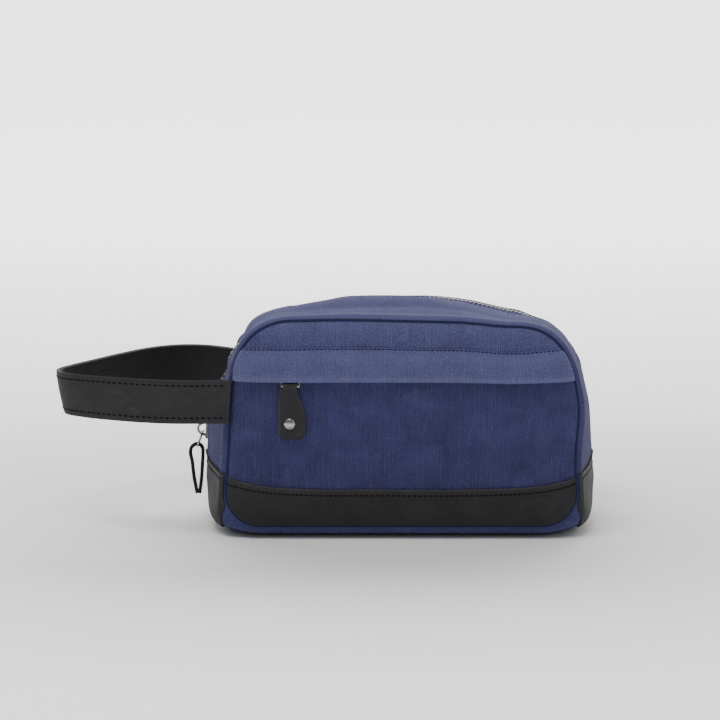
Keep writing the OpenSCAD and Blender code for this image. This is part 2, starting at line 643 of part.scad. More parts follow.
front_panel();
front_yoke();
pocket_placket();
front_band();
back_panel();
back_band();
gusset_front();
gusset_back();
base_gusset();
end_cap_left();
end_cap_right();
zip_end_tab_left();
zip_end_tab_right();
base_board();
lining_front();
lining_back();
lining_gusset_front();
lining_gusset_back();
lining_base();
pocket_pouch();
pocket_tape_upper();
pocket_tape_lower();
pocket_teeth_upper();
pocket_teeth_lower();
pocket_zip_stops();
pocket_slider();
pocket_pull_loop();
pocket_tab();
tab_rivet();
main_tape_front();
main_tape_back();
main_teeth_front();
main_teeth_back();
main_slider();
pull_link();
pull_lace();
strap_leather();
strap_webbing();
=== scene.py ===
"""Looks of the shaving kit bag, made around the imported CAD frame."""

import bmesh
import bpy
import json
import math
import random
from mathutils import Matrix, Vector, noise


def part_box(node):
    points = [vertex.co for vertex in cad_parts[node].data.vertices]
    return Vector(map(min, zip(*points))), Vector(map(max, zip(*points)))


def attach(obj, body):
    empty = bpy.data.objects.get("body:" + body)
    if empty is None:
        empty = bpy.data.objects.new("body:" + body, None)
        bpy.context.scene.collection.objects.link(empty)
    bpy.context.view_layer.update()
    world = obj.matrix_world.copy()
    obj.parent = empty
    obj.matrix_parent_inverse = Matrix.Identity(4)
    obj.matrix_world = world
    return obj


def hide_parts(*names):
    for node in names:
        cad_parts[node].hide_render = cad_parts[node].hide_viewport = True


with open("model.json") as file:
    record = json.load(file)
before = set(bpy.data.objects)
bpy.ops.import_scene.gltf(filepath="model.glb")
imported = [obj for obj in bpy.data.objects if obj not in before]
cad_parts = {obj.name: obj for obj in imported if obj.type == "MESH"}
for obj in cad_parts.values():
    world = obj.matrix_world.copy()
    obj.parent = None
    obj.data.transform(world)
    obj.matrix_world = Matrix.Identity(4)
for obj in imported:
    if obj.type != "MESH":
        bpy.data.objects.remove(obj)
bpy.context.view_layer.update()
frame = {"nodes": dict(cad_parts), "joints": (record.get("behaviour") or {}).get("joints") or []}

MM = 0.001
rng = random.Random(7)

# ------------ sizes, in millimetres
def box_mm(node):
    """A CAD node's lowest and highest corner, in millimetres."""
    low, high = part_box(node)
    return low / MM, high / MM


panel_low, panel_high = box_mm("back_panel")
seam_lift, panel_top = panel_low.z, panel_high.z
half_w = panel_high.x
half_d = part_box("gusset_back")[1].y / MM + 1.6
placket_low, placket_top = box_mm("pocket_placket")[0].z, box_mm("pocket_placket")[1].z
pocket_top = box_mm("front_panel")[1].z
yoke_low = box_mm("front_yoke")[0].z
cap_top = box_mm("base_gusset")[1].z + 0.1
strap_low, strap_high = box_mm("strap_leather")

TOP_R, BOTTOM_R, LEAN = 40.0, 24.0, 5.0  # the panels' corners, and how far their sides lean in
BULGE = 4.0  # of the front and back panels
SIDE_CROWN, CAP_SINK, CAP_SLOPE = 15.5, 2.0, 6.0  # how far the gusset stands out at the ends
TOP_CROWN, TOP_END_CROWN, BASE_CROWN = 7.0, 1.5, 9.5  # and at the top and the base
CANVAS_T, LEATHER_T = 1.5, 1.4
CANVAS_REACH = 7.5  # from the zip's middle to the gusset's hem
BAND_TOP, BAND_RISE = 36.0, 8.5
BAND_GAP, CAP_GAP = 0.15, 0.12  # between the leather and the canvas below it
SEAM_GAP = 0.6  # from the seam's middle to the cut edge of a gusset
GROOVE = 3.2  # depth of the groove in which the gussets are sewn to the panels

bottom_cx, bottom_cz = half_w - BOTTOM_R, seam_lift + BOTTOM_R
top_cx, top_cz = half_w - LEAN - TOP_R, panel_top - TOP_R
side_dx, side_dz = bottom_cx - top_cx, top_cz - bottom_cz
lean_a = math.atan2(side_dx, side_dz)
lean_a -= math.asin((TOP_R - BOTTOM_R) / math.hypot(side_dx, side_dz))
side_low = (bottom_cx + BOTTOM_R * math.cos(lean_a), bottom_cz + BOTTOM_R * math.sin(lean_a))
side_high = (top_cx + TOP_R * math.cos(lean_a), top_cz + TOP_R * math.sin(lean_a))


def clamp(v, low=0.0, high=1.0):
    return max(low, min(high, v))


def smooth(v):
    v = clamp(v)
    return v * v * (3 - 2 * v)


def bump(v, centre, width):
    return math.exp(-(((v - centre) / width) ** 2))


def steps(a, b, n):
    return [a + (b - a) * i / n for i in range(n + 1)]


def half_width(z):
    """Half the width of the panels at height z."""
    if z > side_high[1]:
        return top_cx + math.sqrt(max(0, TOP_R**2 - (z - top_cz) ** 2))
    if z < side_low[1]:
        return bottom_cx + math.sqrt(max(0, BOTTOM_R**2 - (z - bottom_cz) ** 2))
    share = (z - side_low[1]) / (side_high[1] - side_low[1])
    return side_low[0] + (side_high[0] - side_low[0]) * share


def low_edge(x):
    """Height of the panels' lower seam at distance x from the middle."""
    if abs(x) < bottom_cx:
        return seam_lift
    return bottom_cz - math.sqrt(max(0, BOTTOM_R**2 - (abs(x) - bottom_cx) ** 2))


def band_edge(x):
    """Height of the leather band's top edge."""
    return BAND_TOP + BAND_RISE * (abs(x) / half_w) ** 5


def settle(p):
    """The soft bag's slump: the right shoulder sinks, the front rises and the back drops."""
    x, y, z = p
    left_side, right_side = smooth((-x - 84) / 22), smooth((x - 90) / 20)
    middle = 1 - min(1.0, abs(y) / half_d) ** 2.2
    near_seam = smooth((abs(y) - 10) / 45)
    top = smooth((z - 136) / 14)
    # The right shoulder hangs lower than the left part of the top
    drop = 3.1 * bump(x, 74, 24) * smooth((z - 95) / 50)
    drop -= 1.4 * bump(x, -40, 45) * smooth((z - 110) / 40)
    drop += 2.0 * bump(x, 90, 14) * bump(y, 0, 24) * smooth((z - 120) / 20)
    # The right end leans out by the seams, and in by the zip
    push = 4.6 * bump(z, 92, 26) * near_seam - 1.2 * (1 - near_seam) * smooth((z - 30) / 30)
    push *= smooth((x - 50) / 50)
    # The gusset is drawn in at both shoulders, above the strap
    if x > 0:
        push -= 5.0 * smooth((z - 80) / 40) * (1 - smooth((z - 118) / 30)) * middle * right_side
    else:
        push += 11.0 * smooth((z - 86) / 24) * (1 - smooth((z - 126) / 24)) * middle * left_side
    # On top the front half rises over the zip, which sinks, and the back half drops
    hump = 3.2 * smooth((x + 92) / 70) * (1 - smooth(x / 62)) * bump(y, -18, 13)
    sink = 2.0 * (1 - smooth((x - 2) / 22)) * smooth((x + 90) / 40) * bump(y, 0, 9)
    back = (6.0 + 2.5 * smooth((x - 10) / 50)) * smooth((y - 2) / 45) * smooth((z - 114) / 37)
    settled = Vector((x + push, y, z - drop + top * (hump - sink) - back))
    # On the shoulders the front half stands over the zip too
    side = -1 if x < 0 else 1
    out = Vector((max(0.0, abs(x) - top_cx) * side, 0, max(0.1, z - top_cz))).normalized()
    share = smooth((-x - 35) / 35) + 0.6 * smooth((x - 80) / 20)
    share *= smooth((out.z - 0.12) / 0.4) * smooth((z - top_cz) / 14)
    return settled + out * share * (1.0 * bump(y, -24, 13) - 4.2 * smooth((y + 16) / 13))


def rumple(p, size, seed):
    """Smooth noise between about -1 and 1."""
    return noise.noise(Vector((p[0] / size + seed, p[1] / size - seed, p[2] / size + 2 * seed)))


# ------------ meshes
def new_object(name, verts, faces, uvs=None, wear_and_light=None):
    """A mesh object from millimetre points; uvs and paleness, for worn places and painted light,
    give one value for each point.
    """
    mesh = bpy.data.meshes.new(name)
    mesh.from_pydata([Vector(v) * MM for v in verts], [], faces)
    if uvs:
        layer = mesh.uv_layers.new(name="cloth")
        for loop in mesh.loops:
            layer.data[loop.index].uv = uvs[loop.vertex_index]
    if wear_and_light:
        data = mesh.attributes.new("wear_and_light", "FLOAT", "POINT")
        for i, value in enumerate(wear_and_light):
            data.data[i].value = value
    mesh.validate()
    mesh.shade_smooth()
    obj = bpy.data.objects.new(name, mesh)
    bpy.context.scene.collection.objects.link(obj)
    return obj


def sheet_mesh(name, rows, uvs, wear_and_light, t, inner):
    """A closed sheet: rows of outer points, thickened by t towards the point inner."""
    n, m = len(rows), len(rows[0])
    points = [Vector(p) for row in rows for p in row]

    def outer_normal(i, j):
        a = Vector(rows[min(i + 1, n - 1)][j]) - Vector(rows[max(i - 1, 0)][j])
        b = Vector(rows[i][min(j + 1, m - 1)]) - Vector(rows[i][max(j - 1, 0)])
        return a.cross(b).normalized()

    normals = [outer_normal(i, j) for i in range(n) for j in range(m)]
    normals = [-v if v.dot(Vector(inner) - p) > 0 else v for v, p in zip(normals, points)]
    back = [p - v * t for p, v in zip(points, normals)]
    count = n * m
    faces = []
    for i in range(n - 1):
        for j in range(m - 1):
            a, b, c, d = i * m + j, (i + 1) * m + j, (i + 1) * m + j + 1, i * m + j + 1
            faces += [(a, b, c, d), (count + a, count + d, count + c, count + b)]
    rim = [i * m for i in range(n)] + [(n - 1) * m + j for j in range(1, m)]
    rim += [i * m + m - 1 for i in range(n - 2, -1, -1)] + list(range(m - 2, 0, -1))
    for a, b in zip(rim, rim[1:] + rim[:1]):
        faces.append((a, count + a, count + b, b))
    flat_uv = [uv for row in uvs for uv in row] * 2
    flat_wear_and_light = [w for row in wear_and_light for w in row] * 2 if wear_and_light else None
    obj = new_object(name, points + back, faces, flat_uv, flat_wear_and_light)
    return face_outwards(obj)


def face_outwards(obj, weld=0.0):
    """Makes the normals of a closed mesh point outwards, after joining points closer than weld."""
    bm = bmesh.new()
    bm.from_mesh(obj.data)
    if weld:
        bmesh.ops.remove_doubles(bm, verts=bm.verts, dist=weld)
    bmesh.ops.recalc_face_normals(bm, faces=bm.faces)
    bm.to_mesh(obj.data)
    bm.free()
    return obj


def grid(us, vs, cell):
    """Rows of points, of cloth coordinates and of paleness for worn places and painted light: what
    cell(u, v) gives for one point.
    """
    cells = [[cell(u, v) for v in vs] for u in us]
    return [[[c[k] for c in row] for row in cells] for k in range(3)]


def ring_faces(rings, n, closed=False, ends=True):
    """Faces that join rings of n points, with a face over each end."""
    faces = []
    for i in range(rings if closed else rings - 1):
        a, b = i * n, (i + 1) % rings * n
        faces += [(a + k, a + (k + 1) % n, b + (k + 1) % n, b + k) for k in range(n)]
    if ends and not closed:
        faces += [tuple(range(n))[::-1], tuple(range((rings - 1) * n, rings * n))]
    return faces


def tube(path, radius, sides=8, closed=False):
    """A round tube along points in millimetres; radius is a number or one for each point."""
    points = [Vector(p) for p in path]
    n = len(points)
    radii = radius if isinstance(radius, list) else [radius] * n
    verts, normal = [], None
    for i, p in enumerate(points):
        ahead = points[(i + 1) % n] if closed or i < n - 1 else p
        behind = points[i - 1] if closed or i > 0 else p
        along = (ahead - behind).normalized()
        if normal is None:
            normal = along.orthogonal().normalized()
        normal = (normal - along * normal.dot(along)).normalized()
        side = along.cross(normal)
        for k in range(sides):
            a = 2 * math.pi * k / sides
            verts.append(p + (normal * math.cos(a) + side * math.sin(a)) * radii[i])
    return verts, ring_faces(n, sides, closed)


def merge(parts):
    """One list of points and faces from several."""
    verts, faces = [], []
    for v, f in parts:
        faces += [tuple(i + len(verts) for i in face) for face in f]
        verts += v
    return verts, faces


# A stitch: places along it from -1 to 1, with its height and its thickness in radii
STITCH = [(-1.0, -0.45, 0.5), (-0.72, 0.05, 0.95), (-0.25, 0.16, 1.0), (0.25, 0.16, 1.0),
          (0.72, 0.05, 0.95), (1.0, -0.45, 0.5)]
STITCH_SHARE = 0.35  # of the pitch, from a stitch's middle to each side
STITCH_WOBBLE = 0.12


def stitches(name, surface, count, length, radius, lift):
    """A row of stitches. surface(t) gives a point and its outward normal for t from 0 to 1."""
    parts = []
    for i in range(count):
        mid = (i + 0.5) / count
        p0, n0 = surface(max(0.0, mid - STITCH_SHARE / count))
        p1, n1 = surface(min(1.0, mid + STITCH_SHARE / count))
        normal = (Vector(n0) + Vector(n1)).normalized()
        along = Vector(p1) - Vector(p0)
        centre = (Vector(p0) + Vector(p1)) / 2
        half = along.normalized() * min(length, along.length * 1.05) / 2
        wobble = along.cross(normal).normalized() * rng.uniform(-STITCH_WOBBLE, STITCH_WOBBLE)
        path = [centre + (half + wobble) * s + normal * (lift + h * radius) for s, h, _ in STITCH]
        parts.append(tube(path, [radius * r for _, _, r in STITCH], sides=6))
    verts, faces = merge(parts)
    return face_outwards(new_object(name, verts, faces))


# ------------ materials
class Nodes:
    """Short calls for building one material's nodes."""

    def __init__(self, name):
        self.material = bpy.data.materials.new(name)
        self.material.use_nodes = True
        self.tree = self.material.node_tree
        self.shader = self.tree.nodes["Principled BSDF"]

    def fill(self, node, inputs):
        """Sets a node's inputs to values, or links them to other nodes' outputs."""
        for key, value in inputs.items():
            if isinstance(value, bpy.types.NodeSocket):
                self.tree.links.new(value, node.inputs[key])
            else:
                node.inputs[key].default_value = value

    def add(self, kind, inputs=(), **settings):
        node = self.tree.nodes.new(kind)
        for key, value in settings.items():
            setattr(node, key, value)
        self.fill(node, dict(inputs))
        return node

    def shade(self, inputs):
        """Sets the shader's own inputs, and gives the finished material."""
        self.fill(self.shader, inputs)
        return self.material

    def place(self):
        return self.add("ShaderNodeTexCoord").outputs["Object"]

    def cloth(self):
        return self.add("ShaderNodeUVMap", uv_map="cloth").outputs[0]

    def wear_and_light(self):
        return self.add("ShaderNodeAttribute", attribute_name="wear_and_light").outputs["Fac"]

    def math(self, operation, a, b):
        return self.add("ShaderNodeMath", {0: a, 1: b}, operation=operation).outputs[0]

    def times(self, a, b):
        return self.math("MULTIPLY", a, b)

    def mix(self, factor, a, b):
        return self.add("ShaderNodeMix", {0: factor, 6: a, 7: b}, data_type="RGBA").outputs[2]

    def paint(self, colour, over, mask, strength):
        return self.mix(self.times(mask, strength), colour, over)

    def ramp(self, value, low, high, a=0.0, b=1.0):
        return self.add("ShaderNodeMapRange", {0: value, 1: low, 2: high, 3: a, 4: b}).outputs[0]

    def scaled(self, source, scale):
        return self.add("ShaderNodeMapping", {0: source, 3: scale}).outputs[0]

    def noise(self, vector, scale, detail=3.0, rough=0.55):
        inputs = {"Vector": vector, "Scale": scale, "Detail": detail, "Roughness": rough}
        return self.add("ShaderNodeTexNoise", inputs).outputs[0]

    def bands(self, vector, pitch, direction):
        """Bands with a pitch in millimetres."""
        inputs = {"Vector": vector, "Scale": 2 * math.pi / 20 / (pitch * MM)}
        return self.add("ShaderNodeTexWave", inputs, wave_type="BANDS",
                        bands_direction=direction).outputs[1]

    def bump(self, height, distance, strength, normal=None):
        inputs = {"Height": height, "Distance": distance, "Strength": strength}
        if normal is not None:
            inputs["Normal"] = normal
        return self.add("ShaderNodeBump", inputs).outputs[0]


def rgb(r, g, b):
    """A linear colour from the 0 to 255 values that a screen shows."""
    def line(c):
        c /= 255
        return c / 12.92 if c <= 0.04045 else ((c + 0.055) / 1.055) ** 2.4
    return (line(r), line(g), line(b), 1.0)


def brighter(colour, k):
    return tuple(clamp(c * k) for c in colour[:3]) + (1.0,)


def canvas(name, base, dark, pale, frost=0.22):
    """Waxed cotton canvas: ribs across the cloth, fine yarns, scuffs and pale wax marks."""
    n = Nodes(name)
    coords, place = n.cloth(), n.place()
    sway = n.times(n.noise(place, 90.0, 2.0), 0.0012)
    sway = n.add("ShaderNodeCombineXYZ", {0: sway}).outputs[0]
    swayed = n.add("ShaderNodeVectorMath", {0: coords, 1: sway}, operation="ADD").outputs[0]
    ribs, yarns = n.bands(swayed, 1.45, "X"), n.bands(swayed, 0.8, "Y")
    streak = n.noise(n.scaled(coords, (1.0, 0.035, 1.0)), 900.0, 3.0, 0.6)
    cross = n.noise(n.scaled(coords, (0.05, 1.0, 1.0)), 800.0, 2.0, 0.6)
    grit = n.noise(n.scaled(coords, (1.0, 0.7, 1.0)), 1150.0, 3.0, 0.8)
    patch = n.noise(place, 55.0, 5.0, 0.65)
    speck = n.noise(place, 700.0, 2.0, 0.7)
    scuff = n.ramp(n.noise(place, 60.0, 6.0, 0.75), 0.58, 0.78)
    between = n.times(n.ramp(ribs, 0.0, 0.42, 1.0, 0.0), n.ramp(streak, 0.3, 0.65, 0.25, 1.0))
    colour = n.mix(n.ramp(patch, 0.35, 0.66), brighter(base, 0.9), brighter(base, 1.35))
    # The last mark pales the cloth by each point's paleness: worn edges and ridges, and painted
    # light where the cloth faces up or stands out.
    for over, mask, strength in (
            (dark, between, 0.9), (pale, n.ramp(streak, 0.54, 0.8), 0.35),
            (pale, n.ramp(cross, 0.58, 0.85), 0.12), (pale, n.ramp(grit, 0.5, 0.72), frost),
            (dark, n.ramp(grit, 0.5, 0.3), 0.45), (pale, n.ramp(speck, 0.62, 0.8), 0.5),
            (pale, scuff, 0.28), (pale, n.wear_and_light(), 0.55)):
        colour = n.paint(colour, over, mask, strength)
    height = n.math("ADD", n.times(ribs, 0.75), n.times(yarns, 0.25))
    height = n.math("ADD", height, n.times(streak, 0.5))
    weave = n.bump(height, 0.00028, 0.9)
    return n.shade({
        "Base Color": colour, "Roughness": n.ramp(patch, 0.3, 0.7, 0.78, 0.92),
        "Normal": n.bump(n.noise(place, 110.0, 3.0), 0.0007, 0.5, weave),
        "Sheen Weight": 0.04, "Sheen Roughness": 0.6, "Specular IOR Level": 0.1})


def leather(name, base, pale, grain=1.0):
    """Matt leather: pebbled grain, soft creases and paler worn edges."""
    n = Nodes(name)
    place = n.place()
    cells = n.add("ShaderNodeTexVoronoi", {"Vector": place, "Scale": 1100.0 * grain,
                                           "Randomness": 1.0}, feature="DISTANCE_TO_EDGE")
    pores = n.noise(place, 1500.0 * grain, 3.0, 0.6)
    cloud = n.noise(place, 45.0, 5.0, 0.6)
    crease = n.noise(n.scaled(place, (1.0, 1.0, 2.2)), 130.0, 4.0, 0.7)
    rubbed = n.times(n.wear_and_light(), n.ramp(crease, 0.35, 0.65, 0.45, 1.0))
    colour = n.mix(n.ramp(cloud, 0.35, 0.7), base, brighter(base, 1.45))
    colour = n.paint(colour, pale, n.ramp(crease, 0.58, 0.8), 0.35)
    colour = n.paint(colour, pale, n.ramp(pores, 0.6, 0.78), 0.2)
    colour = n.mix(rubbed, colour, pale)
    normal = n.bump(n.ramp(cells.outputs[0], 0.0, 0.12), 0.00009, 0.6)
    normal = n.bump(pores, 0.00008, 0.5, normal)
    normal = n.bump(crease, 0.0005, 0.35, normal)
    return n.shade({"Base Color": colour, "Roughness": n.ramp(cloud, 0.3, 0.7, 0.58, 0.76),
                    "Normal": normal, "Specular IOR Level": 0.16})


def webbing(name, base, pale):
    """Ribbed webbing or zip tape: fine ribs along it, with a twill of cross yarns."""
    n = Nodes(name)
    coords = n.cloth()
    ribs, cross = n.bands(coords, 1.5, "Y"), n.bands(coords, 1.1, "X")
    fuzz = n.noise(n.place(), 1300.0, 3.0, 0.7)
    height = n.math("ADD", n.times(ribs, 0.6), n.times(n.times(ribs, cross), 0.6))
    colour = n.paint(base, pale, height, 0.7)
    colour = n.paint(colour, pale, n.ramp(fuzz, 0.55, 0.8), 0.4)
    rough_height = n.math("ADD", height, n.times(fuzz, 0.4))
    return n.shade({"Base Color": colour, "Roughness": 0.85,
                    "Normal": n.bump(rough_height, 0.0003, 0.9)})


def metal(name, base, dark, rough):
    """Plated metal with tarnish in patches and fine brushing."""
    n = Nodes(name)
    place = n.place()
    tarnish = n.noise(place, 380.0, 4.0, 0.65)
    brush = n.noise(n.scaled(place, (1.0, 1.0, 0.15)), 2600.0, 2.0, 0.6)
    return n.shade({"Base Color": n.mix(n.ramp(tarnish, 0.42, 0.7), base, dark),
                    "Roughness": n.ramp(brush, 0.3, 0.7, rough * 0.75, rough * 1.3),
                    "Normal": n.bump(brush, 0.00003, 0.4), "Metallic": 1.0})


def thread(name, base, pale):
    """Twisted sewing thread."""
    n = Nodes(name)
    twist = n.noise(n.place(), 2400.0, 2.0, 0.6)
    return n.shade({"Base Color": n.mix(n.ramp(twist, 0.4, 0.7), base, pale), "Roughness": 0.75,
                    "Specular IOR Level": 0.15, "Normal": n.bump(twist, 0.00008, 0.7)})


def board_material(name, base, pale):
    """Pressed fibre board."""
    n = Nodes(name)
    fibre = n.noise(n.scaled(n.place(), (1.0, 0.3, 1.0)), 500.0, 4.0, 0.7)
    return n.shade({"Base Color": n.mix(n.ramp(fibre, 0.4, 0.7), base, pale), "Roughness": 0.9,
                    "Normal": n.bump(fibre, 0.0001, 0.5)})


BLUE, BLUE_DARK, BLUE_PALE = rgb(55, 55, 94), rgb(28, 29, 58), rgb(98, 100, 140)
mats = {
    "canvas": canvas("canvas_blue", BLUE, BLUE_DARK, BLUE_PALE),
    # The yoke and placket's canvas is a lit copy of the blue canvas: the same cloth in lighter
    # colours, painted light from above.
    "canvas_lit_top": canvas("canvas_lit_top", rgb(66, 68, 107), rgb(34, 36, 68), rgb(118, 122, 160), 0.5),
    "canvas_base": canvas("canvas_base", rgb(58, 60, 100), rgb(34, 36, 66), rgb(88, 90, 130)),
    "leather": leather("leather_black", rgb(40, 40, 42), rgb(80, 79, 80)),
    "lace": leather("leather_lace", rgb(28, 28, 29), rgb(62, 61, 61), 1.3),
    "webbing": webbing("webbing_black", rgb(10, 10, 12), rgb(40, 40, 44)),
    "tape": webbing("zip_tape", rgb(18, 19, 24), rgb(50, 52, 62)),
    "lining": webbing("lining_cloth", rgb(112, 104, 84), rgb(150, 142, 120)),
    "teeth": metal("antique_silver", rgb(118, 115, 109), rgb(44, 42, 40), 0.36),
    "nickel": metal("polished_nickel", rgb(172, 169, 164), rgb(112, 108, 104), 0.18),
    "thread_blue": thread("thread_blue", rgb(24, 27, 58), rgb(40, 44, 82)),
    "thread_black": thread("thread_black", rgb(3, 3, 4), rgb(10, 10, 11)),
    "board": board_material("base_board", rgb(120, 98, 66), rgb(150, 128, 92)),
}


def finish_piece(obj, material, slot, replaces=(), body="bag"):
    """Gives a piece its material, its body and the CAD nodes that it stands for."""
    obj.data.materials.clear()
    obj.data.materials.append(mats[material])
    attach(obj, body)
    if replaces:
        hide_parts(*replaces)


# ------------ camera
def make_camera():
    """The photograph's view: a long lens, a little above the bag."""
    data = bpy.data.cameras.new("camera")
    data.sensor_width = 36.0
    focal_px, image_px = 2569.7, 720.0
    data.lens = focal_px / image_px * data.sensor_width
    data.clip_end = 50
    cam = bpy.data.objects.new("camera", data)
    cam.location = (-0.0279, -1.7526, 0.4333)
    cam.rotation_euler = (math.radians(90 - 10.34), 0, 0)
    bpy.context.scene.collection.objects.link(cam)
    bpy.context.scene.camera = cam


make_camera()


# ------------ panels
def puff(x, z):
    """How far a panel bulges."""
    mid, half = (panel_top + seam_lift) / 2, (panel_top - seam_lift) / 2
    across = 1 - min(1.0, abs(x) / half_width(z)) ** 8
    return BULGE * across * (1 - min(1.0, abs(z - mid) / half) ** 4)


def edge_distance(x, z):
    """Distance to the panel's seam, from 0 at the seam."""
    across = half_width(z) - abs(x)
    up = min(panel_top - z, z - low_edge(x))
    if abs(x) > top_cx and z > top_cz:
        up = across = TOP_R - math.hypot(abs(x) - top_cx, z - top_cz)
    if abs(x) > bottom_cx and z < bottom_cz:
        up = across = BOTTOM_R - math.hypot(abs(x) - bottom_cx, z - bottom_cz)
    return max(0.0, min(across, up))


def front_surface(x, z, out, back=False):
    """A point of the front cloth, which is puffed, rolled back into the seam and softly rumpled.

    The back cloth has the same form."""
    d = edge_distance(x, z)
    roll = 3.0 * (1 - smooth(d / 3.2)) + 1.2 * (1 - smooth(d / 8.0))
    waves = 1.5 * rumple((x, 0, z), 46, 3.1) + 0.6 * rumple((x, 0, z * 1.4), 19, 8.3)
    # No waves where the pocket slider needs its room behind the placket
    soft = smooth(d / 25.0) * (1 - 0.9 * bump(z, 116, 14))
    y = -half_d - puff(x, z) - out + roll - soft * waves * 0.9
    return settle((x, -y if back else y, z))


def gathered(u, k):
    """A share from -1 to 1, moved towards the ends by as much as k says."""
    return math.sin(u * math.pi / 2) * k + u * (1 - k)


def panel_sheet(name, zs, wear_and_light, columns=110, share=1.0, lift=None, back=False):
    """A canvas sheet on the front or on the back, with rows at the heights zs."""
    def cell(z, u):
        x = u * half_width(z) * share
        out = lift(x, z) if lift else 0.0
        return front_surface(x, z, out, back), (x * MM, z * MM), wear_and_light(x, z)

    shares = [gathered(u, 0.55) for u in steps(-1, 1, columns)]
    return sheet_mesh(name, *grid(zs, shares, cell), CANVAS_T, (0, 0, 80))


def corner_rows(low, high, step=2.2):
    """Heights from low to high that close up round the rounded corners."""
    rows = []
    z = low
    while z < high - 0.2:
        rows.append(z)
        near = min(abs(z - seam_lift), abs(panel_top - z))
        z += step * clamp(near / 14 + 0.12, 0.15, 1.0)
    return rows + [high]


def scuffs(x, z):
    """Pale rubbed places on the puffed front."""
    return clamp(0.55 * rumple((x * 0.4, 0, z), 9, 5.5) - 0.2) * smooth(edge_distance(x, z) / 10)


def make_panels():
    low, high = seam_lift + 0.2, panel_top - 0.2
    front = panel_sheet("pocket_front", corner_rows(low, pocket_top), scuffs)
    finish_piece(front, "canvas", "canvas_blue", ["front_panel"])
    # The pocket slider runs below the yoke's turned edge
    # Painted light: the yoke grows paler towards its top, where it turns up to the light.
    yoke = panel_sheet("front_yoke_cloth", corner_rows(yoke_low + 2.6, high, 1.6),
                       lambda x, z: 0.25 * smooth((z - 136) / 14))
    finish_piece(yoke, "canvas_lit_top", "canvas_blue", ["front_yoke"])
    back = panel_sheet("back_panel_cloth", corner_rows(low, high), scuffs, back=True)
    finish_piece(back, "canvas", "canvas_blue", ["back_panel"])


make_panels()


def placket_lift(x, z):
    """The placket is sewn flat at its top and stands off at its free edge, with a turned hem."""
    ends = 1 - (abs(x) / half_width(z)) ** 12
    v = clamp((placket_top - z) / (placket_top - placket_low))
    ripple = (0.35 * (rumple((x, 0, 0), 34, 4.4) + 0.6) + 0.8 * bump(x, 70, 16)) * v
    hem = 1.4 * (1 - smooth((z - placket_low) / 2.4))
    sewn = CANVAS_T * smooth((placket_top - z) / 4.5)
    return sewn + (3.9 * v**0.8 + ripple - hem) * ends + 0.3


def make_placket():
    zs = [placket_low + s for s in (0.1, 0.35, 0.8, 1.5, 2.4)]
    zs += steps(placket_low + 4, placket_top - 5, 10)
    zs += [placket_top - s for s in (4, 3, 2.2, 1.4, 0.6)]

    # Painted light pales the whole flap and the bend below its stitches, where it stands out to the
    # light; its turned hem is worn paler.
    def wear_and_light(x, z):
        return 0.22 + 0.45 * bump(z, placket_low + 1.5, 2.0) + 0.15 * bump(z, placket_top - 6, 4)

    strip = panel_sheet("placket_cloth", zs, wear_and_light, columns=150, share=0.998, lift=placket_lift)
    finish_piece(strip, "canvas_lit_top", "canvas_blue", ["pocket_placket"])

    z = placket_top - 1.6

    def line(t):
        x = (2 * t - 1) * half_width(z) * 0.985
        return front_surface(x, z, placket_lift(x, z)), (0, -1, 0)

    row = stitches("placket_stitches", line, 78, 2.4, 0.42, 0.02)
    finish_piece(row, "thread_blue", "canvas_blue")


make_placket()


# ------------ leather bands
def make_band(name, node, back):
    """The leather band along the foot of a panel."""
    def across(u):
        return gathered(u, 0.35) * (half_w - 0.8)

    def cell(u, v):
        x = across(u)
        low, high = low_edge(x) + 0.3, band_edge(x)
        z = low + (high - low) * v
        rounded = 0.35 * (1 - smooth(min(1 - v, v) * (high - low) / 0.9))
        wear_and_light = 0.5 if v > 0.98 else 0.12 * smooth((v - 0.8) / 0.15)
        out = BAND_GAP + LEATHER_T - rounded
        return front_surface(x, z, out, back), (x * MM, z * MM), wear_and_light

    levels = [0, 0.02, 0.05] + steps(0.1, 0.92, 12) + [0.96, 0.985, 1.0]
    band = sheet_mesh(name, *grid(steps(-1, 1, 150), levels, cell), LEATHER_T, (0, 0, 60))
    finish_piece(band, "leather", "leather_black", [node])

    def line(t):
        u = 2 * t - 1
        height = band_edge(across(u)) - low_edge(across(u))
        return cell(u * 0.985, 1 - 4.4 / height)[0], (0, 1 if back else -1, 0)

    row = stitches(name + "_stitches", line, 78, 2.5, 0.52, -0.1)
    finish_piece(row, "thread_black", "leather_black")


make_band("front_band_leather", "front_band", False)
make_band("back_band_leather", "back_band", True)


# ------------ gussets
# A path runs round the bag in the XZ plane. Its points are x, z and the outward normal's x and z
def side_point(z, sign):
    return (sign * half_width(z), z, sign * math.cos(lean_a), math.sin(lean_a))


def arc_path(cx, cz, r, a0, a1, n):
    angles = [math.radians(a) for a in steps(a0, a1, n)]
    return [(cx + r * math.cos(a), cz + r * math.sin(a), math.cos(a), math.sin(a)) for a in angles]


def upper_path():
    """From the left end cap over the top to the right end cap."""
    lean = math.degrees(lean_a)
    path = [side_point(z, -1) for z in steps(cap_top, side_high[1], 22)]
    path += arc_path(-top_cx, top_cz, TOP_R, 180 - lean, 90, 26)[1:]
    path += [(x, panel_top, 0.0, 1.0) for x in steps(-top_cx, top_cx, 48)][1:]
    path += arc_path(top_cx, top_cz, TOP_R, 90, lean, 26)[1:]
    path += [side_point(z, 1) for z in steps(side_high[1], cap_top, 22)][1:]
    return path


def lower_path():
    """From the left end cap under the base to the right end cap."""
    lean = math.degrees(lean_a)
    path = [side_point(z, -1) for z in steps(cap_top - 0.1, side_low[1], 6)]
    path += arc_path(-bottom_cx, bottom_cz, BOTTOM_R, 180 - lean, 270, 26)[1:]
    path += [(x, seam_lift, 0.0, -1.0) for x in steps(-bottom_cx, bottom_cx, 50)][1:]
    path += arc_path(bottom_cx, bottom_cz, BOTTOM_R, -90, lean, 26)[1:]
    path += [side_point(z, 1) for z in steps(side_low[1], cap_top - 0.1, 6)][1:]
    return path


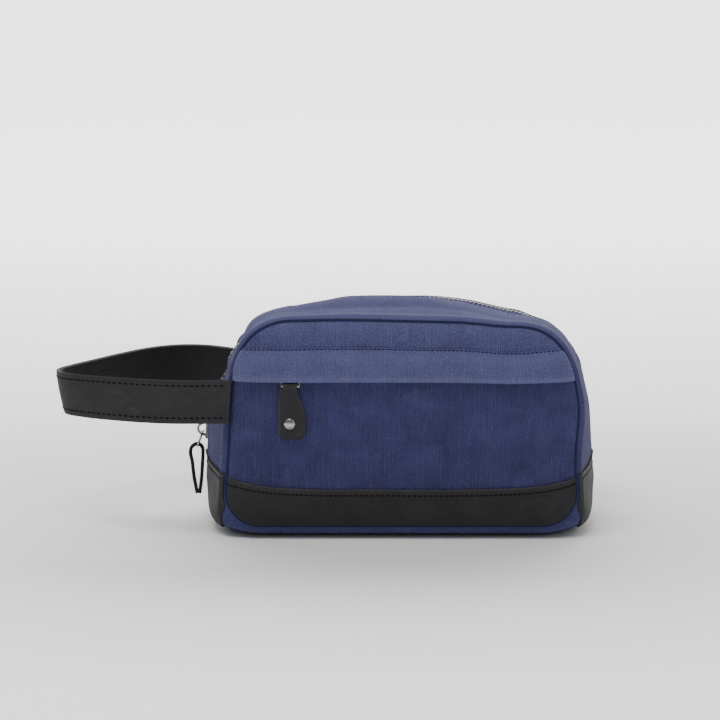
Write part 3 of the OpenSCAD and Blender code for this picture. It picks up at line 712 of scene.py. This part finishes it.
def crown_at(p, y):
    """How far the gusset stands out of the seams at depth y."""
    x, z, _, nz = p
    v = min(1.0, abs(y) / half_d)
    down = max(0.0, -nz)
    up = max(0.0, (nz - math.sin(lean_a)) / (1 - math.sin(lean_a)))
    top = TOP_END_CROWN + (TOP_CROWN - TOP_END_CROWN) * max(0.0, 1 - (x / top_cx) ** 2)
    sink = CAP_SINK * clamp((cap_top + CAP_SLOPE - z) / CAP_SLOPE)
    side = (SIDE_CROWN - sink) * (1 - up) ** 1.3 + top * up * up
    return (1 - down) * side * (1 - v**1.6) + down * BASE_CROWN * (1 - v**4)


def path_point(p, y, out):
    return settle((p[0] + p[2] * out, y, p[1] + p[3] * out))


def lengths(path):
    """Distance along a path, for each of its points."""
    total, out = 0.0, [0.0]
    for a, b in zip(path, path[1:]):
        total += math.hypot(b[0] - a[0], b[1] - a[1])
        out.append(total)
    return out


def gusset_out(p, y, seed):
    """The gusset's outer face: it starts down in the seam's groove and puffs up beside it."""
    d = half_d - abs(y)
    base = crown_at(p, y)
    groove = -GROOVE * (1 - smooth((d - SEAM_GAP) / 2.4))
    fold = 1.7 * bump(d, 5.0, 3.4) * (0.75 + 0.25 * max(0.0, p[3]))
    mid = smooth(d / 14.0) * smooth((abs(y) - CANVAS_REACH + 2) / 8.0)
    q = (p[0], y, p[1])
    creases = 0.9 * rumple(q, 38, seed) + 0.4 * rumple(q, 15, seed + 3)
    crest = 0.8 * bump(d, 24 + 6 * rumple(q, 60, seed + 9), 4.5) * max(0.0, p[3])
    return base + groove + fold + mid * creases * 0.9 - crest


def gusset_depths():
    """Distances from the bag's middle, from the seam to the hem beside the zip."""
    near_seam = [half_d - SEAM_GAP - s for s in (0.0, 0.7, 1.5, 2.4, 3.4, 4.6, 6.0, 7.6, 9.4)]
    near_hem = [CANVAS_REACH + s for s in (2.2, 1.4, 0.8, 0.3, 0.0)]
    return near_seam + steps(half_d - 12.5, CANVAS_REACH + 3.2, 14) + near_hem


def make_gusset(name, node, sign, seed):
    path = upper_path()
    along = lengths(path)

    def cell(i, d):
        p, hem = path[i], d - CANVAS_REACH
        turned = 0.45 * bump(hem, 1.4, 1.2) - 0.9 * (1 - smooth(hem / 1.2))
        # Worn paler at the ridge beside the seam and at the turned hem; painted light makes the
        # ridge paler still, and the whole cloth paler, where it faces up on top of the bag.
        high = max(0.0, p[3]) ** 2
        wear_and_light = 0.5 * bump(half_d - d, 5.0, 3.0) * (0.3 + high) + 0.3 * bump(hem, 1.2, 1.5)
        point = path_point(p, sign * d, gusset_out(p, sign * d, seed) + turned)
        return point, (along[i] * MM, d * MM), wear_and_light + 0.7 * high

    gusset = sheet_mesh(name, *grid(range(len(path)), gusset_depths(), cell), CANVAS_T, (0, 0, 75))
    finish_piece(gusset, "canvas", "canvas_blue", [node])

    y = sign * (CANVAS_REACH + 3.4)

    def line(t):
        k = t * (len(path) - 1)
        i = min(int(k), len(path) - 2)
        a, b = (path_point(p, y, gusset_out(p, y, seed)) for p in path[i:i + 2])
        return a.lerp(b, k - i), (path[i][2], 0, path[i][3])

    row = stitches(name + "_stitches", line, 136, 2.2, 0.28, 0.04)
    finish_piece(row, "thread_blue", "canvas_blue")


make_gusset("gusset_front_cloth", "gusset_front", -1, 2.7)
make_gusset("gusset_back_cloth", "gusset_back", 1, 6.1)


def base_out(p, y):
    """The base strip's outer face, with fuller corners, flat where it stands."""
    d = half_d - abs(y)
    groove = -GROOVE * (1 - smooth((d - SEAM_GAP) / 2.2))
    corner = 6.6 * bump(-p[3], 0.6, 0.3) * (1 - (min(1.0, abs(y) / half_d)) ** 12)
    fold = 1.0 * bump(d, 4.0, 3.0)
    q = (p[0], y, p[1])
    return crown_at(p, y) + groove + corner + fold + 0.3 * smooth(d / 12) * rumple(q, 30, 1.7)


def floor_limit(p, out):
    """Keeps a point of the base on or above the floor."""
    if p[3] < -0.05:
        return min(out, (p[1] - 0.02) / -p[3])
    return out


def both_sides(depths):
    """Depths that end at 0, and the same ones beyond it."""
    return depths + [-d for d in reversed(depths[:-1])]


def make_base():
    path = lower_path()
    along = lengths(path)

    def cell(i, y):
        point = path_point(path[i], y, floor_limit(path[i], base_out(path[i], y)))
        return point, (along[i] * MM, y * MM), 0.25 * bump(half_d - abs(y), 4, 3)

    depths = [half_d - SEAM_GAP - s for s in (0.0, 0.7, 1.5, 2.4, 3.6, 5.0, 7.0, 9.5)]
    depths = both_sides(depths + steps(half_d - 14, 0, 14))
    cells = grid(range(len(path)), depths, cell)
    base = sheet_mesh("base_gusset_cloth", *cells, CANVAS_T, (0, 0, 60))
    finish_piece(base, "canvas_base", "canvas_base", ["base_gusset"])


make_base()


def make_seam_and_shade(name, sign):
    """A dark cord down in the groove between a panel and the gussets: partly the seam's thread,
    partly painted shade in the groove.
    """
    loop = upper_path() + lower_path()[::-1][1:-1]
    path = [path_point(p, sign * (half_d - 1.6), -1.5) for p in loop]
    path = [Vector((q.x, q.y, max(q.z, 1.2))) for q in path]
    verts, faces = tube(path, 1.0, closed=True)
    seam = face_outwards(new_object(name, verts, faces))
    finish_piece(seam, "thread_blue", "canvas_blue")


make_seam_and_shade("seam_and_shade_front", -1)
make_seam_and_shade("seam_and_shade_back", 1)


# ------------ end caps and zip end tabs
def cap_out(p, y):
    """An end cap's outer face, over the base strip and the gusset."""
    return max(base_out(p, y), crown_at(p, y) - 0.2) + CAP_GAP + LEATHER_T


def make_end_cap(name, node, sign):
    """A leather cap round a lower end, which tapers to a rounded tongue under the base."""
    path = [side_point(z, sign) for z in steps(cap_top - 0.1, side_low[1] + 1.5, 5)]
    arc = arc_path(-bottom_cx, bottom_cz, BOTTOM_R, 180 - math.degrees(lean_a), 233, 26)
    path += [(-sign * x, z, -sign * nx, nz) for x, z, nx, nz in arc]
    along = lengths(path)

    def cell(i, y):
        p = path[i]
        taper = clamp((i - 8) / (len(path) - 9))
        rim = min(along[i], along[-1] - along[i], half_d - abs(y))
        y *= max(0.16, 1 - taper**5) ** 0.5
        rough = 0.25 * rumple((p[0], y, p[1]), 20, 9.9) * smooth((half_d - abs(y)) / 8)
        point = path_point(p, y, floor_limit(p, cap_out(p, y) + rough))
        return point, (along[i] * MM, y * MM), 0.5 * (1 - smooth(rim / 1.6)) + 0.1

    depths = [half_d - 0.9, half_d - 1.6, half_d - 2.6] + steps(half_d - 4.5, 0, 14)
    cap = sheet_mesh(name, *grid(range(len(path)), both_sides(depths), cell), LEATHER_T, (0, 0, 50))
    finish_piece(cap, "leather", "leather_black", [node])

    p = side_point(cap_top - 3.2, sign)

    def line(t):
        y = (2 * t - 1) * (half_d - 3)
        return path_point(p, y, cap_out(p, y)), (sign, 0, 0)

    row = stitches(name + "_stitches", line, 36, 2.5, 0.52, -0.1)
    finish_piece(row, "thread_black", "leather_black")


make_end_cap("end_cap_left_leather", "end_cap_left", -1)
make_end_cap("end_cap_right_leather", "end_cap_right", 1)


def make_end_tab(name, node, sign):
    """A small leather tab, with rounded corners, folded over the zip's end."""
    low, high = box_mm(node)
    levels = steps(low.z - 1.2, high.z, 8)

    def cell(k, u):
        p = side_point(levels[k], sign)
        y = u * (high.y - low.y) / 2 * (1 - 0.22 * smooth((k - 4) / 4))
        out = crown_at(p, y) + 0.6 + LEATHER_T * (1 - 0.35 * abs(u) ** 4)
        return path_point(p, y, out), (y * MM, levels[k] * MM), 0.45 * abs(u) ** 6

    tab = sheet_mesh(name, *grid(range(len(levels)), steps(-1, 1, 14), cell), LEATHER_T, (0, 0, 50))
    finish_piece(tab, "leather", "leather_black", [node])


make_end_tab("zip_end_left_leather", "zip_end_tab_left", -1)
make_end_tab("zip_end_right_leather", "zip_end_tab_right", 1)


# ------------ main zip
TEETH_PITCH = 2.9
CHAIN_TOP, CHAIN_T = 0.2, 3.8  # how far the chain stands out of the gusset, and its thickness
TOOTH_REACH = 3.55  # from the zip's middle to the root of a tooth


def tooth(length, width, height):
    """One metal tooth, a waisted block: x along the zip, y across it and z outwards."""
    outline = [(0.0, 0.48), (0.42, 0.5), (0.6, 0.36), (0.78, 0.36), (0.92, 0.46), (1.0, 0.3)]
    side = [(w * width, h * length) for w, h in outline]
    ring = side + [(w, -h) for w, h in reversed(side)]
    levels = [(-0.5, 0.86), (-0.38, 1.0), (0.34, 1.0), (0.46, 0.9), (0.5, 0.66)]
    verts = [Vector((h * s, w * (0.97 + 0.03 * s) + (1 - s) * width * 0.2, z * height))
             for z, s in levels for w, h in ring]
    return verts, ring_faces(len(levels), len(ring))


def along_path(path, distance):
    """The path point at a distance along it."""
    total = lengths(path)
    i = 0
    while i < len(path) - 2 and total[i + 1] < distance:
        i += 1
    f = (distance - total[i]) / max(1e-6, total[i + 1] - total[i])
    return tuple(a + (b - a) * f for a, b in zip(path[i], path[i + 1]))


def make_teeth(name, node, sign, offset):
    """One row of the main zip's teeth."""
    path = upper_path()
    tooth_points, tooth_faces = tooth(1.55, 3.9, 3.0)
    across = Vector((0, sign, 0))

    def middle(p):
        return path_point(p, 0, crown_at(p, 0) + CHAIN_TOP - CHAIN_T / 2 + 0.1)

    parts = []
    for k in range(int((lengths(path)[-1] - 4) / TEETH_PITCH)):
        distance = 2.5 + offset + k * TEETH_PITCH
        p = along_path(path, distance)
        centre = middle(p)
        forward = (middle(along_path(path, distance + 0.5)) - centre).normalized()
        normal = forward.cross(across).normalized()
        if normal.dot(Vector((p[2], 0, p[3]))) < 0:
            normal = -normal
        parts.append(([centre + forward * v.x + across * (TOOTH_REACH - v.y) + normal * v.z
                       for v in tooth_points], tooth_faces))
    verts, faces = merge(parts)
    obj = face_outwards(new_object(name, verts, faces))
    obj.data.shade_flat()
    finish_piece(obj, "teeth", "zip_metal", [node])


make_teeth("main_teeth_front_row", "main_teeth_front", -1, 0.0)
make_teeth("main_teeth_back_row", "main_teeth_back", 1, TEETH_PITCH / 2)


def make_tape(name, node, sign):
    path = upper_path()
    along = lengths(path)
    depths = [3.4, 4.4, 5.4, 6.4, 7.6, 9.0, 12.0, 15.8]

    def tape_point(p, d):
        gap = 0.0 if d < 4 else 0.35
        return path_point(p, sign * d, crown_at(p, max(d, CANVAS_REACH)) - CANVAS_T - gap)

    rows = [[tape_point(p, d) for d in depths] for p in path]
    uvs = [[(a * MM, d * MM) for d in depths] for a in along]
    tape = sheet_mesh(name, rows, uvs, None, 0.7, (0, 0, 75))
    finish_piece(tape, "tape", "zip_tape", [node])


make_tape("main_tape_front_cloth", "main_tape_front", -1)
make_tape("main_tape_back_cloth", "main_tape_back", 1)


# ------------ zip pull of leather lace
def make_lace():
    """A flat lace with rounded edges, doubled into a teardrop and sewn at its foot."""
    low, high = box_mm("pull_lace")
    joint = next(j for j in frame["joints"] if j["name"] == "pull_lace_swing")
    pivot = Vector(joint["pos_m"]) / MM
    foot = Vector(((low.x + high.x) / 2 + 0.2, 0, low.z + 0.6))
    width, thickness = 2.7, 2.4
    head = Vector((pivot.x, 0, pivot.z + 1.6))
    left = [head + Vector(v) for v in ((-3.9, 0, -12.5), (-5.0, 0, -6.5), (-3.9, 0, -2.2))]
    right = [head + Vector(v) for v in ((3.3, 0, -2.4), (3.7, 0, -7.0), (3.3, 0, -14.0))]
    left_end, right_end = foot + Vector((-0.85, 0, 0)), foot + Vector((0.85, 0, 0))
    route = [left_end, left_end.lerp(left[0], 0.5) + Vector((-0.4, 0, 0))] + left + [head] + right
    route += [right_end.lerp(right[2], 0.5) + Vector((0.3, 0, 0)), right_end]
    verts, faces = ribbon(spline(route, 10), Vector((0, 1, 0)), width, thickness)
    lace = face_outwards(new_object("pull_lace_leather", verts, faces))
    finish_piece(lace, "lace", "leather_lace", ["pull_lace"], "pull_lace")


def spline(points, per):
    """A smooth curve through points."""
    out = []
    n = len(points)
    for i in range(n - 1):
        a, b = points[max(0, i - 1)], points[i]
        c, d = points[i + 1], points[min(n - 1, i + 2)]
        for k in range(per):
            t = k / per
            out.append(0.5 * (2 * b + (c - a) * t + (2 * a - 5 * b + 4 * c - d) * t * t
                              + (3 * b - a - 3 * c + d) * t**3))
    return out + [points[-1]]


def ribbon(curve, wide, width, thickness):
    """A flat strip with rounded edges along a curve; wide is the direction of its width."""
    half = [(0.5, 0.22), (0.44, 0.42), (0.3, 0.5), (0, 0.5)]
    half += [(-a, b) for a, b in half[2::-1]]
    ring = half + [(-a, -b) for a, b in half]
    verts = []
    for i, p in enumerate(curve):
        along = (curve[min(i + 1, len(curve) - 1)] - curve[max(i - 1, 0)]).normalized()
        thick = along.cross(wide).normalized()
        verts += [p + wide * a * width + thick * b * thickness for a, b in ring]
    return verts, ring_faces(len(curve), len(ring))


make_lace()


# ------------ pocket tab
def make_pocket_tab():
    """The leather tab: two layers sewn into one, folded over the loop, with rounded corners."""
    low, high = box_mm("pocket_tab")
    mid_y = (low.y + high.y) / 2
    left, top, bottom = low.x, high.z, low.z
    fold_r, corner_r = 2.35, 5.5
    pivot = top - fold_r

    def half_span(z):
        """Left and right edge of the tab at height z."""
        v = clamp((top - z) / (top - bottom))
        a = left + 1.2 - 1.2 * smooth(v / 0.5)
        b = left + 12.6 + 5.6 * smooth((v - 0.08) / 0.55)
        if z < bottom + corner_r:
            inset = corner_r - math.sqrt(max(0.0, corner_r**2 - (bottom + corner_r - z) ** 2))
            a, b = a + inset, b - inset
        if z > pivot - 1.2:
            a, b = max(a, left + 3.4), min(b, left + 12.9)
        return a, b

    zs = [bottom + up for up in (0.02, 0.3, 0.8, 1.6, 2.6, 4.0, 5.6)]
    zs += steps(bottom + 8, pivot - 1.25, 16) + [pivot - 1.15, pivot]
    columns, rows = 12, []
    for z in zs:
        a, b = half_span(z)
        thick = 1.4 + 0.95 * smooth((z - (pivot - 10)) / 8)
        xs = steps(a, b, columns)

        def face_y(x, s):
            edge = min(x - a, b - x)
            return mid_y + s * (thick - 0.4 * (1 - smooth(edge / 1.0)))

        rows.append([(x, face_y(x, -1), z) for x in xs]
                    + [(x, face_y(x, 1), z) for x in reversed(xs)])
    xs = steps(*half_span(pivot), columns)
    for a in steps(0, math.pi / 2, 8)[1:]:
        y, z = fold_r * math.cos(a), pivot + fold_r * math.sin(a)
        rows.append([(x, mid_y - y, z) for x in xs] + [(x, mid_y + y, z) for x in reversed(xs)])
    verts = [Vector(p) for row in rows for p in row]
    n = len(rows[0])
    faces = ring_faces(len(rows), n, ends=False)
    for i in (0, len(rows) - 1):
        for k in range(columns):
            faces.append((i * n + k, i * n + k + 1, i * n + n - 2 - k, i * n + n - 1 - k))
    wear_and_light = []
    for v in verts:
        a, b = half_span(v.z)
        wear_and_light.append(0.6 * (1 - smooth(min(v.x - a, b - v.x, v.z - bottom + 0.4) / 1.1)))
    uvs = [(v.x * MM, v.z * MM) for v in verts]
    tab = face_outwards(new_object("pocket_tab_leather", verts, faces, uvs, wear_and_light), weld=1e-6)
    finish_piece(tab, "leather", "leather_black", ["pocket_tab"], "pocket_tab")


make_pocket_tab()


# ------------ wrist strap
# As in the CAD: distance out from the strap's ends, share of half the depth, and rise
STRAP_SHAPE = [
    (15.4, -1.017, 0), (36.4, -1, 0), (57.4, -0.931, 0.2), (78.4, -0.81, 0.4), (96.4, -0.672, 0.5),
    (108.4, -0.534, 0.4), (113.4, -0.362, 0.2), (111.4, -0.155, 0), (102.4, 0.103, 0.2),
    (88.4, 0.414, 0.8), (73.4, 0.707, 1.6), (58.4, 0.966, 2.0), (42.4, 1.155, 1.8),
    (25.4, 1.224, 1.2), (10.4, 1.155, 0.6)]
strap_end = -half_width(strap_low.z) - 1.6
STRAP = [(strap_end + 3.5, -half_d - 0.8, 0.0)]
STRAP += [(strap_end - out, share * half_d, up) for out, share, up in STRAP_SHAPE]
STRAP += [(strap_end + 3.5, half_d + 0.8, 0.0)]


def make_strap():
    curve = spline([Vector(p) for p in STRAP], 10)
    n = len(curve)
    height = strap_high.z - strap_low.z
    loop_middle = Vector((-170, 0, 0))
    flat_len = [0.0]
    for a, b in zip(curve, curve[1:]):
        flat_len.append(flat_len[-1] + (b - a).length)

    def point(i, v, out):
        """v from 0 at the lower edge to 1 at the top edge; gives the outward normal too."""
        p = curve[i]
        along = curve[min(n - 1, i + 1)] - curve[max(0, i - 1)]
        normal = Vector((along.y, -along.x, 0)).normalized()
        if normal.dot(loop_middle - p) > 0:
            normal = -normal
        share = i / (n - 1)
        twist = 0.03 * math.sin(share * 7.0) - 0.17 * bump(share, 0.42, 0.12)
        lean = (v - 0.5) * height * twist
        # Both ends follow the leaning side seams
        near_end = 2 - smooth(share / 0.06) - smooth((1 - share) / 0.06)
        x_shift = (v - 0.5) * height * math.tan(lean_a) * near_end
        cup = 0.5 * math.cos((v - 0.5) * math.pi)
        rough = 0.25 * rumple((p.x, p.y, v * 30), 24, 7.2)
        z = strap_low.z + height * v - 0.6 * math.sin(share * math.pi) + p.z
        q = Vector((p.x, p.y, 0)) + normal * (out + cup + rough - lean)
        return Vector((q.x + x_shift, q.y, z)), normal

    def layer(name, out, t, width, material, slot, node, rounded):
        vs = [0.0, 0.012, 0.035] + steps(0.08, 0.92, 14) + [0.965, 0.988, 1.0]
        vs = [0.5 + (v - 0.5) * width for v in vs]

        def cell(i, v):
            edge = min(v - vs[0], vs[-1] - v) * height
            p, _ = point(i, v, out - rounded * (1 - smooth(edge)))
            wear_and_light = 0.55 * (1 - smooth(edge / 0.7)) + 0.05
            return p, (flat_len[i] * MM, v * height * MM), wear_and_light

        obj = sheet_mesh(name, *grid(range(n), vs, cell), t, (-170, 0, 96))
        finish_piece(obj, material, slot, [node])

    leather_t, web_t, web_gap = 1.8, 1.4, 0.12
    layer("strap_leather_strip", leather_t, leather_t, 1.0, "leather", "leather_black",
          "strap_leather", 0.4)
    layer("strap_webbing_strip", -web_gap, web_t, 0.97, "webbing", "webbing_black",
          "strap_webbing", 0.2)

    edge = 4.0 / height
    for tag, v in (("low", edge), ("high", 1 - edge)):
        def line(t, v=v):
            k = 3 + t * (n - 7)
            i = int(k)
            a, normal = point(i, v, leather_t)
            b, _ = point(min(i + 1, n - 1), v, leather_t)
            return a.lerp(b, k - i), normal

        row = stitches("strap_stitches_" + tag, line, int(flat_len[-1] / 3.6), 2.6, 0.55, -0.1)
        finish_piece(row, "thread_black", "leather_black")


make_strap()

# ------------ linings
def make_lining(node):
    """The CAD lining's own form, slumped with the cloth that it lines and a little loose."""
    source = frame["nodes"][node].data
    verts = [settle(v.co / MM) * 0.985 + Vector((0, 0, 1.2)) for v in source.vertices]
    faces = [tuple(p.vertices) for p in source.polygons]
    uvs = [((v.x + v.y) * MM, (v.z - v.y) * MM) for v in verts]
    obj = new_object(node + "_cloth", verts, faces, uvs)
    obj.data.shade_flat()
    finish_piece(obj, "lining", "lining", [node])


for lining_node in ("lining_front", "lining_back", "lining_gusset_front", "lining_gusset_back"):
    make_lining(lining_node)

# ------------ CAD nodes that stay as they are
CARRIED = {
    "board": ["base_board"],
    "lining": ["lining_base", "pocket_pouch"],
    "tape": ["pocket_tape_upper", "pocket_tape_lower"],
    "teeth": ["pocket_teeth_upper", "pocket_teeth_lower", "pocket_zip_stops",
              "pocket_slider", "main_slider"],
    "nickel": ["pocket_pull_loop", "tab_rivet", "pull_link"],
}
for key, nodes in CARRIED.items():
    for node in nodes:
        obj = frame["nodes"][node]
        obj.data.materials.clear()
        obj.data.materials.append(mats[key])


# ------------ studio
def make_studio():
    """A pale sweep behind the bag, which glows as painted light, a soft key from above, and fills.
    """
    profile = [(-6.0, 0.0), (2.0, 0.0)]
    profile += [(2.0 + 1.5 * math.sin(math.radians(a)), 1.5 - 1.5 * math.cos(math.radians(a)))
                for a in range(6, 91, 6)]
    profile += [(3.5, 6.0)]
    verts = [(x, y, z) for y, z in profile for x in (-8.0, 8.0)]
    faces = [(2 * i, 2 * i + 1, 2 * i + 3, 2 * i + 2) for i in range(len(profile) - 1)]
    mesh = bpy.data.meshes.new("sweep")
    mesh.from_pydata(verts, [], faces)
    mesh.shade_smooth()
    sweep = bpy.data.objects.new("sweep", mesh)
    bpy.context.scene.collection.objects.link(sweep)
    glowing_paper = Nodes("glowing_paper")
    place = glowing_paper.place()
    parts = glowing_paper.add("ShaderNodeSeparateXYZ", {0: place}).outputs
    reach = glowing_paper.add("ShaderNodeVectorMath", {0: glowing_paper.scaled(place, (0.6, 1.0, 1.0))},
                      operation="LENGTH")
    # Painted light: the sweep glows, not at all next to the bag, more further out and most far
    # behind it.
    near = glowing_paper.ramp(reach.outputs["Value"], 0.12, 0.4, 0.0, 0.5)
    far = glowing_paper.ramp(parts[1], 0.3, 1.6, 0.0, 1.5)
    sweep.data.materials.append(glowing_paper.shade({
        "Base Color": (0.9, 0.9, 0.9, 1.0), "Roughness": 0.9,
        "Emission Color": (1.0, 1.0, 1.0, 1.0), "Emission Strength": glowing_paper.math("ADD", near, far)}))

    world = bpy.data.worlds.new("world")
    world.use_nodes = True
    world.node_tree.nodes["Background"].inputs[0].default_value = (1.0, 1.0, 1.0, 1.0)
    world.node_tree.nodes["Background"].inputs[1].default_value = 0.3
    bpy.context.scene.world = world

    def area(name, place, target, size, power):
        data = bpy.data.lights.new(name, "AREA")
        data.shape = "RECTANGLE"
        data.size, data.size_y = size
        data.energy = power
        lamp = bpy.data.objects.new(name, data)
        lamp.location = place
        aim = Vector(target) - Vector(place)
        lamp.rotation_euler = aim.to_track_quat("-Z", "Y").to_euler()
        bpy.context.scene.collection.objects.link(lamp)

    area("key", (-0.5, -0.9, 2.2), (0, 0, 0.08), (1.4, 0.8), 32)
    area("fill", (1.8, -1.8, 1.2), (0, 0, 0.08), (1.4, 1.4), 5)
    area("back", (0.2, 1.8, 2.0), (0, 0, 0.1), (2.0, 1.0), 14)


make_studio()
